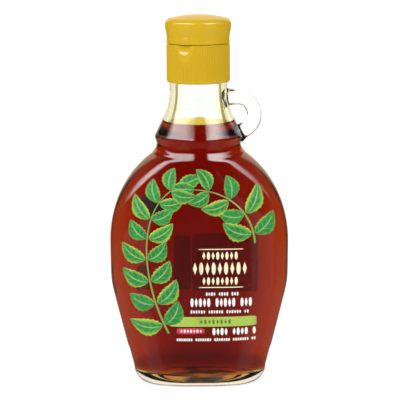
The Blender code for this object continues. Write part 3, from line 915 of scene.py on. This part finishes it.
def leafPlaces():
    # One row for each leaf: foot x, foot z, direction, length, width, bend and tone.
    v = leaves
    places = []
    for s, stem in enumerate(stems):
        for i in range(stem["pairs"]):
            t = (i + v["firstPlace"]) / stem["pairs"]
            x, z, heading = placeAndHeading(stem, t, 0.01)
            size = 1.0 - v["shrink"] * t
            for side in (-1, 1):
                tone = 0.5 + 0.5 * math.sin(2.4 * i + 1.7 * side + s)
                aside = math.radians(v["spread"] - v["closing"] * t + v["turning"] * tone)
                places.append((x, z, heading + side * aside, v["length"] * size * (0.9 + 0.2 * tone),
                               v["width"] * size, v["bend"] * side, tone))
        x, z, heading = placeAndHeading(stem, 0.98, 0.02)
        places.append((x, z, heading, v["length"] * 0.85, v["width"] * 0.8, 0.0, 0.3))
    return np.array(places, float)


def makeLeaves(material):
    # along u from foot to tip the half-width is W/2 * (sin(pi * u^0.8))^0.8, times a saw of
    # teeth; the midrib bends by 4 * bend * L * u * (1 - u)
    c = leaves
    places = leafPlaces()
    u = np.linspace(0.0, 1.0, c["rows"])[:, None]
    v = np.linspace(-1.0, 1.0, c["columns"])[None, :]
    plain = np.clip(np.sin(math.pi * u ** c["fullness"]), 0.0, 1.0) ** c["fullness"]
    half = plain * (1.0 - c["toothDepth"] * np.remainder(u * c["teeth"], 1.0))
    x0, z0, turn, length, width, bend, tone = (part[:, None, None] for part in places.T)
    along = length * (c["stalk"] + (1.0 - c["stalk"]) * u)
    aside = 0.5 * width * half * v + bend * length * 4.0 * u * (1.0 - u)
    x = x0 + along * np.cos(turn) - aside * np.sin(turn)
    z = z0 + along * np.sin(turn) + aside * np.cos(turn)
    layer = 2 + np.arange(len(places))[:, None, None] % 4 + 0.0 * x
    quads = patchQuads(len(places), c["rows"], c["columns"])[:, ::-1]
    inkSheet("label_leaves", material, onFace(x, z, ink["lift"] + layer * ink["layer"]), quads,
             np.stack([u + 0.0 * x, np.abs(v) + 0.0 * x, tone + 0.0 * x], -1))


def leafMaterial():
    # Green leaf that pales to yellow-green at its edge, with a pale midrib and side veins.
    c = leaves
    material, shader = newMaterial("leafInk")
    where = addNode("Attribute", attribute_name="leafPlace").outputs["Vector"]
    along, away, tone = addNode("SeparateXYZ", {0: where}).outputs
    mottle = noiseOf(c["mottle"])
    edge = mathOf("MULTIPLY_ADD", mottle, 0.5, mathOf("MULTIPLY_ADD", tone, 0.35, -0.42))
    edge = mathOf("ADD", edge, mathOf("POWER", away, 1.6))
    edge = rampOf(edge, 0.45, 1.1, kind="LINEAR")
    body = mixColour(times(mottle, 1.2), c["deep"], c["green"])
    slant = mathOf("MULTIPLY_ADD", away, -c["veinSlant"], along)
    phase = mathOf("FRACT", times(slant, c["sideVeins"]))
    off = mathOf("ABSOLUTE", mathOf("SUBTRACT", phase, 0.5))
    side = times(mathOf("LESS_THAN", off, c["veinHalf"]), mathOf("LESS_THAN", away, c["veinEnd"]),
                 c["faint"])
    veins = mathOf("MAXIMUM", mathOf("LESS_THAN", away, c["ribHalf"]), side)
    colour = mixColour(veins, mixColour(edge, body, c["edge"]), c["vein"])
    feed(shader, {"Base Color": colour, "Roughness": c["roughness"]})
    return material


def makeStems(material):
    # a ribbon along each stem's curve, its half-width fading towards the tip
    rows, columns = 70, 3
    points = []
    for stem in stems:
        t = np.linspace(0.0, 1.0, rows)
        x, z = bentLine(stem, t)
        dx, dz = np.gradient(x), np.gradient(z)
        size = np.hypot(dx, dz)
        side = np.linspace(-1.0, 1.0, columns)[None, :] * (stem["width"] * (1.0 - 0.6 * t))[:, None]
        points.append(onFace(x[:, None] - side * (dz / size)[:, None],
                             z[:, None] + side * (dx / size)[:, None], ink["lift"] + ink["layer"]))
    quads = patchQuads(len(stems), rows, columns)[:, ::-1]
    inkSheet("label_stems", material, joined(points), quads)


# Printed fields: cream ornament, white rows, lime band, red accent, and dark fields of painted
# shade, on the front and behind, for the back print seen dark through the syrup

inks = dict(
    creamInk=((0.86, 0.74, 0.50), 1.0), whiteInk=((0.86, 0.84, 0.80), 1.0),
    limeInk=((0.34, 0.50, 0.065), 1.0), oliveInk=((0.10, 0.17, 0.02), 1.0),
    redInk=((0.55, 0.03, 0.06), 1.0), stemInk=((0.20, 0.33, 0.06), 1.0),
    # painted shade: near-black, partly clear sheets for the back print seen dark through the syrup
    paintedShadeInk=((0.010, 0.002, 0.002), 0.72), paintedDimInk=((0.010, 0.002, 0.002), 0.35),
    paintedBackShadeInk=((0.010, 0.002, 0.002), 0.32), paintedBackDimInk=((0.010, 0.002, 0.002), 0.28),
)
frontFields = [
    ("label_rules", "creamInk", dict(
        bars=[(10.0, 67.4, 10.4, 0.22, 12.0), (10.0, 49.2, 10.4, 0.22, 12.0)],
        rings=8, sides=32)),
    ("label_ornament", "creamInk", dict(beads=[
        (1.4, 18.6, 64.3, 0.731, 1.9, 2.15, (1.0, 2.0), 0),
        (-3.0, 23.0, 58.2, 0.986, 3.0, 2.9, (1.0, 2.0), 0),
        (1.4, 18.6, 52.2, 0.731, 1.9, 2.15, (1.0, 2.0), 0)])),
    ("label_white_rows", "whiteInk", dict(beads=[
        (3.0, 18.0, 46.0, 0.42, 0.95, 1.2, (2.0, 1.2), 5),
        (-4.2, 24.0, 41.9, 0.72, 2.1, 1.95, (2.4, 1.2), 6),
        (-4.2, 23.0, 37.4, 0.42, 0.85, 1.2, (2.0, 1.2), 7),
        (6.0, 26.6, 27.8, 0.72, 1.75, 1.9, (2.4, 1.2), 5),
        (-10.8, 26.8, 23.9, 0.40, 0.72, 1.1, (2.0, 4.0), 8)])),
    ("label_lime_band", "limeInk", dict(
        bars=[(6.4, 32.6, 20.4, 2.35, 14.0)], rings=14, sides=64)),
    ("label_band_beads", "oliveInk", dict(
        beads=[(0.2, 16.0, 32.6, 0.6, 1.15, 1.9, (1.0, 2.0), 0)], layer=2)),
    ("label_red_accent", "redInk", dict(
        bars=[(-4.2, 28.1, 6.6, 1.45, 5.0)], rings=6, sides=32)),
    ("label_accent_beads", "whiteInk", dict(
        beads=[(-9.0, 0.6, 28.1, 0.5, 0.8, 1.5, (1.0, 2.0), 0)], layer=2)),
    # painted shade on the front film: a dark block and a dark row for the back print seen through
    # the syrup
    ("label_painted_shade_block", "paintedShadeInk", dict(
        bars=[(-21.6, 86.6, 5.2, 5.6, 14.0)], rings=6, sides=32)),
    ("label_painted_shade_row", "paintedDimInk", dict(
        beads=[(-12.4, 19.0, 101.2, 0.8, 0.32, 1.9, (3.0, 1.5), 7)])),
]
backFields = [
    # painted shade on the back film: dark blocks and a dim panel where the back print is seen dark
    # through the syrup
    ("back_painted_shade_blocks", "paintedBackShadeInk", dict(
        bars=[(-8.0, 54.0, 3.9, 13.5, 14.0), (-24.0, 47.0, 2.4, 6.0, 14.0)],
        facing=1.0, rings=8, sides=32)),
    ("back_painted_shade_panel", "paintedBackDimInk", dict(
        bars=[(10.8, 54.0, 14.4, 14.5, 14.0)], facing=1.0, rings=10, sides=32)),
]


def makePrint():
    made = {name: inkMaterial(name, *look) for name, look in inks.items()}
    for name, inkName, shapes in frontFields:
        fieldsOfInk(name, made[inkName], **shapes)
    makeLeaves(leafMaterial())
    makeStems(made["stemInk"])
    for name, inkName, shapes in backFields:
        fieldsOfInk(name, made[inkName], **shapes)


def makeLabels():
    clear = filmMaterial()
    front = filmSheet("front_film", film["bottom"], film["top"], frontReach, -1.0)
    back = filmSheet("back_film", film["backBottom"], film["backTop"],
                     lambda z: np.full(len(z), film["backHalfWidth"]), 1.0)
    for piece, node in ((front, "front_label"), (back, "back_label")):
        piece.data.materials.append(clear)
        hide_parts(node)
        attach(piece, "root")
    makePrint()
    print("labels made")


makeLabels()


# Studio: white floor and backdrop, a curved band of light above on each side, a broad grey panel
# on each side of the camera, two soft lights, and the camera at the photo's angle

studio = dict(
    floorNear=-0.9, floorFar=9.0, floorSide=6.0, floorWhite=0.35, floorGlow=0.75,
    throughNear=0.45, throughFrom=0.036, throughTo=0.075,
    footGlow=(0.85, 0.50, 0.12), footHalfWidth=0.038, footHalfDepth=0.030,
    footGlowFrom=0.8, footGlowTo=1.8,
    white=1.16, diffuseWhite=0.85, backFrom=0.86, backTo=0.96, backLift=0.5,
    backCream=(1.0, 0.74, 0.50), creamFrom=0.35, creamTo=0.75, frontDark=0.03,
    frontThrough=(0.14, 0.080, 0.022), throughDark=-0.5, throughWhite=0.1,
    panelLevel=0.42, panelIn=0.40, panelFront=-0.44, panelBack=-0.32, panelTop=0.06,
    panelTilt=0.08, lowFront=0.18, lowTop=-0.22,
    bandTop=36.0, bandDrop=17.0, bandDropFrom=70.0, bandDropTo=112.0, bandHalf=4.0, bandFade=9.5,
)
bands = [
    dict(side=-1.0, inner=(8.0, 20.0), outer=(82.0, 108.0), radiance=9.0),
    dict(side=1.0, inner=(20.0, 30.0), outer=(52.0, 104.0), radiance=12.0),
]
fills = [
    dict(name="fillLeft", azimuth=-40.0, elevation=35.0, power=9.0),
    dict(name="fillRight", azimuth=45.0, elevation=35.0, power=4.0),
]
fillSize, fillDistance, fillTarget = 1.2, 1.2, (0.0, 0.0, 0.1)
cameraView = dict(place=(0.00048, -0.680, 0.215), pitch=10.7, roll=0.3, lens=130.5, sensor=36.0)


def makeFloor():
    # a plain white sheet; mirrored rays pass it and meet the world's own lower half, and through
    # the glass it is painted dim near the bottle, a painted shadow, and gold under it, a painted
    # pool of the light that has passed the syrup
    s = studio
    side, near, far = s["floorSide"], s["floorNear"], s["floorFar"]
    corners = [(-side, near, 0.0), (side, near, 0.0), (side, far, 0.0), (-side, far, 0.0)]
    mesh = bpy.data.meshes.new("floor")
    mesh.from_pydata(corners, [], [(0, 1, 2, 3)])
    floor = newObject("floor", mesh)
    material, shader = newMaterial("palePaper")
    feed(shader, {
        "Base Color": (s["floorWhite"],) * 3, "Roughness": 0.9, "Specular IOR Level": 0.0,
        "Emission Color": (1.0, 1.0, 1.0), "Emission Strength": s["floorGlow"]})
    where = placeOf()[0]
    # painted shadow: through the glass the floor is dimmer near the bottle
    level = rampOf(lengthOf(where), s["throughFrom"], s["throughTo"], s["throughNear"], s["white"])
    # painted pool of gold light under the bottle's foot
    foot = (1.0 / s["footHalfWidth"], 1.0 / s["footHalfDepth"], 0.0)
    spread = addNode("VectorMath", {0: where, 1: foot}, operation="MULTIPLY")
    under = rampOf(lengthOf(spread.outputs[0]), s["footGlowFrom"], s["footGlowTo"], 1.0, 0.0)
    seen = addNode("Emission", {"Color": mixColour(under, level, s["footGlow"])})
    through = addNode("LightPath").outputs["Is Transmission Ray"]
    toOutput({"Surface": mixShader(through, shader, seen)})
    mesh.materials.append(material)
    floor.visible_glossy = False


def bandLevel(azimuth, elevation, band):
    # radiance * (1 - step(|elevation - middle|)), faded at both ends of the azimuth; the middle
    # is bandTop, less bandDrop * step(azimuth) towards the outer end
    s = studio
    along = times(azimuth, band["side"])
    middle = rampOf(along, s["bandDropFrom"], s["bandDropTo"], s["bandTop"],
                    s["bandTop"] - s["bandDrop"])
    off = mathOf("ABSOLUTE", mathOf("SUBTRACT", elevation, middle))
    return times(rampOf(off, s["bandHalf"], s["bandFade"], band["radiance"], 0.0),
                 rampOf(along, *band["inner"]), rampOf(along, *band["outer"], 1.0, 0.0))


def makeWorld():
    # white for what is seen; dimmer for what lights the surfaces; through the glass, white behind
    # and dark in front; mirrored, cream white behind, the two bands above, a grey panel on each
    # side of the camera and dark elsewhere
    s = studio
    world = bpy.data.worlds.new("studioWorld")
    bpy.context.scene.world = world
    world.use_nodes = True
    opened["tree"] = world.node_tree
    world.node_tree.nodes.clear()
    way = addNode("TexCoord").outputs["Generated"]
    x, y, z = addNode("SeparateXYZ", {0: way}).outputs
    degrees = 180.0 / math.pi
    azimuth = times(mathOf("ARCTAN2", x, times(y, -1.0)), degrees)
    elevation = times(mathOf("ARCSINE", z), degrees)
    raised = mathOf("MULTIPLY_ADD", mathOf("MAXIMUM", z, 0.0), s["backLift"], y)
    back = rampOf(raised, s["backFrom"], s["backTo"], 0.0, s["white"])
    overPanel = mathOf("MULTIPLY_ADD", x, -s["panelTilt"], z)
    panel = times(softEdge(mathOf("ABSOLUTE", x), s["panelIn"], 0.06, 0.0, s["panelLevel"]),
                  rampOf(y, s["panelFront"], s["panelBack"], 1.0, 0.0),
                  softEdge(overPanel, s["panelTop"], 0.03, 1.0, 0.0))
    low = softEdge(z, s["lowTop"], 0.06, s["lowFront"], 0.0)
    mirror = mathOf("MAXIMUM", mathOf("MAXIMUM", back, panel),
                    mathOf("ADD", low, s["frontDark"]))
    for band in bands:
        mirror = mathOf("ADD", mirror, bandLevel(azimuth, elevation, band))
    kinds = addNode("LightPath").outputs
    strength = s["white"]
    for kind, level in (("Is Diffuse Ray", s["diffuseWhite"]), ("Is Glossy Ray", mirror)):
        strength = mathOf("MULTIPLY_ADD", kinds[kind], mathOf("SUBTRACT", level, strength), strength)
    behind = times(kinds["Is Glossy Ray"], rampOf(y, s["creamFrom"], s["creamTo"]))
    tint = mixColour(behind, (1.0, 1.0, 1.0), s["backCream"])
    shown = addNode("VectorMath", {0: tint, 3: strength}, operation="SCALE")
    through = mixColour(rampOf(y, s["throughDark"], s["throughWhite"]),
                        s["frontThrough"], (s["white"],) * 3)
    colour = mixColour(kinds["Is Transmission Ray"], shown.outputs[0], through)
    shine = addNode("Background", {"Color": colour})
    addNode("OutputWorld", {"Surface": shine.outputs[0]})


def makeLights():
    # broad soft squares that face the bottle's middle and light its dull surfaces only; azimuth
    # 0 is towards the camera and 90 is to its right
    for fillLight in fills:
        light = bpy.data.lights.new(fillLight["name"], "AREA")
        light.shape = "SQUARE"
        light.size = fillSize
        light.energy = fillLight["power"]
        lamp = newObject(fillLight["name"], light)
        a, e = math.radians(fillLight["azimuth"]), math.radians(fillLight["elevation"])
        away = Vector((math.sin(a) * math.cos(e), -math.cos(a) * math.cos(e), math.sin(e)))
        lamp.location = Vector(fillTarget) + fillDistance * away
        lamp.rotation_euler = away.to_track_quat("Z", "Y").to_euler()
        lamp.visible_camera = False
        lamp.visible_transmission = False
        lamp.visible_glossy = False


def makeCamera():
    c = cameraView
    data = bpy.data.cameras.new("camera")
    data.lens, data.sensor_width, data.sensor_fit = c["lens"], c["sensor"], "AUTO"
    data.clip_start, data.clip_end = 0.01, 50.0
    camera = newObject("camera", data)
    camera.location = c["place"]
    camera.rotation_mode = "QUATERNION"
    level = Quaternion((1.0, 0.0, 0.0), math.radians(90.0 - c["pitch"]))
    camera.rotation_quaternion = level @ Quaternion((0.0, 0.0, 1.0), -math.radians(c["roll"]))
    bpy.context.scene.camera = camera


makeFloor()
makeWorld()
makeLights()
makeCamera()
bpy.context.scene.view_settings.view_transform = "Standard"
print("studio made")
